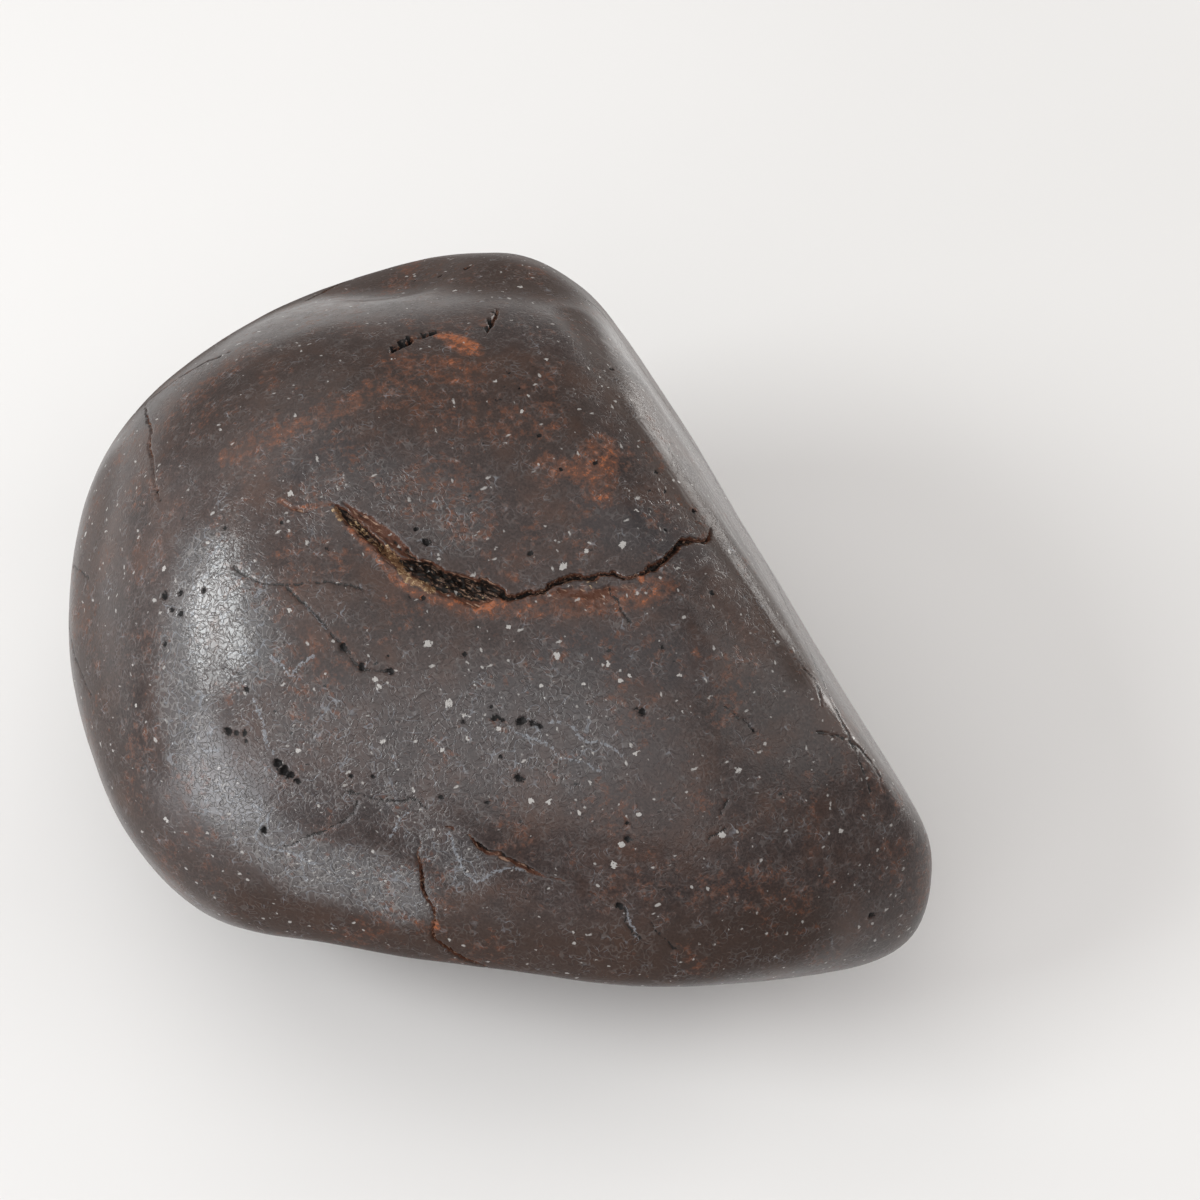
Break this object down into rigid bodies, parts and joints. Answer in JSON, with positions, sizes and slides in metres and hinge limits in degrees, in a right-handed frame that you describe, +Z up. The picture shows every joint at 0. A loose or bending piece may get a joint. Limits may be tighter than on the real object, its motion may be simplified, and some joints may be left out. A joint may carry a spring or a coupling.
{
  "type": "tumbled meteorite",
  "caption": "Palm-sized polished meteorite stone with a domed left side, a long flat facet, a tapered nose and open fissures, resting on a small flat spot.",
  "frame": {"origin": "under the middle of the stone's box, on the surface it rests on", "axes": "+X along the longest side towards the narrow nose, -Y the side that the broad top leans towards, +Z up"},
  "size_m": [0.0452, 0.0436, 0.0274],
  "materials": {
    "polished_stone": "semi-gloss tumbled polish, dark brown-grey with fine pale metal flecks, rust stains and rough, rusty fissures"
  },
  "bodies": {
    "root": {"meteorite": "polished_stone"}
  },
  "joints": []
}
